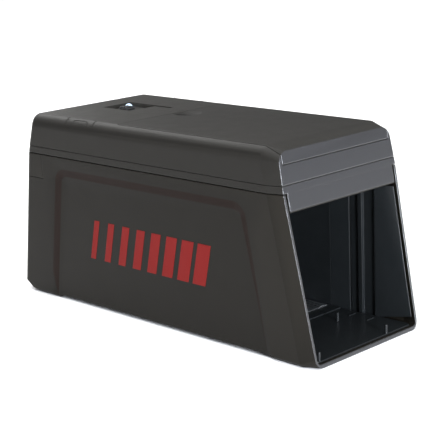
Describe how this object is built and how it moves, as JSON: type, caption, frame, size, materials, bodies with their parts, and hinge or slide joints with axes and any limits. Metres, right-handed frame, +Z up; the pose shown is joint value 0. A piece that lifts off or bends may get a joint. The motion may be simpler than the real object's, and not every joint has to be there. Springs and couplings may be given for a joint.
{
  "type": "electronic tunnel trap",
  "caption": "Battery-powered tunnel trap for rats: a raked open-ended base with shock plates under a hinged lid that holds cells, circuit and switch.",
  "frame": {"origin": "on the ground at the middle of the footprint", "axes": "+X along the tunnel towards the open mouth, +Y across it, +Z up"},
  "size_m": [0.2619, 0.105, 0.1235],
  "materials": {
    "shell": "fine moulded grain",
    "lid": "fine moulded grain",
    "tray": "satin",
    "liner": "glossy",
    "plate": "brushed",
    "screw": "plated",
    "contact": "satin",
    "spring": "plated wire",
    "board": "lacquered",
    "part": "satin",
    "core": "varnished",
    "sleeve": "shrunk sleeve",
    "lens": "clear",
    "lamp": "lit",
    "cell": "printed sleeve",
    "wire": "insulation",
    "nylon": "natural"
  },
  "bodies": {
    "base": {"base_shell": "shell", "rear_vent_cap": "shell", "entry_liner": "liner", "entry_floor": "liner", "chamber_liner": "liner", "near_diverter": "liner", "far_diverter": "liner", "shock_plate_front": "plate", "shock_plate_middle": "plate", "shock_plate_rear": "plate", "plate_screws": "screw", "liner_screws": "screw", "contact_strips": "contact"},
    "lid": {"lid_tray": "tray", "lid_cover": "lid", "lid_screws": "screw", "hinge_pins": "screw", "circuit_board": "board", "transformer": "core", "capacitor": "sleeve", "switch_body": "part", "status_led": "lamp", "led_lens": "lens", "cell_1": "cell", "cell_2": "cell", "cell_3": "cell", "cell_4": "cell", "battery_springs": "spring", "battery_contacts": "contact", "contact_pin_springs": "spring", "wiring": "wire", "interlock_switch": "part", "plunger_spring": "spring"},
    "battery_door": {"battery_door": "lid"},
    "power_switch": {"switch_knob": "part"},
    "spring_pins": {"contact_pins": "contact"},
    "interlock": {"interlock_plunger": "nylon"},
    "bait_cup": {"bait_cup": "part"}
  },
  "joints": [
    {"name": "lid_hinge", "type": "hinge", "parent": "base", "child": "lid", "pos_m": [0.1113, 0, 0.0915], "axis": [0, 1, 0], "range_deg": [0, 90]},
    {"name": "battery_door_slide", "type": "slide", "parent": "lid", "child": "battery_door", "axis": [1, 0, 0], "range_m": [0, 0.14]},
    {"name": "power_switch_slide", "type": "slide", "parent": "lid", "child": "power_switch", "axis": [-1, 0, 0], "range_m": [0, 0.004]},
    {"name": "spring_pin_slide", "type": "slide", "parent": "lid", "child": "spring_pins", "axis": [0, 0, 1], "range_m": [0, 0.001], "stiffness_N_per_m": 400, "springref_m": -0.001, "deforming": ["contact_pin_springs"]},
    {"name": "interlock_slide", "type": "slide", "parent": "lid", "child": "interlock", "axis": [0, 0, 1], "range_m": [0, 0.002], "stiffness_N_per_m": 200, "springref_m": -0.001, "deforming": ["plunger_spring"]},
    {"name": "bait_cup_lift", "type": "slide", "parent": "base", "child": "bait_cup", "axis": [0, 0, 1], "range_m": [0, 0.07]}
  ]
}
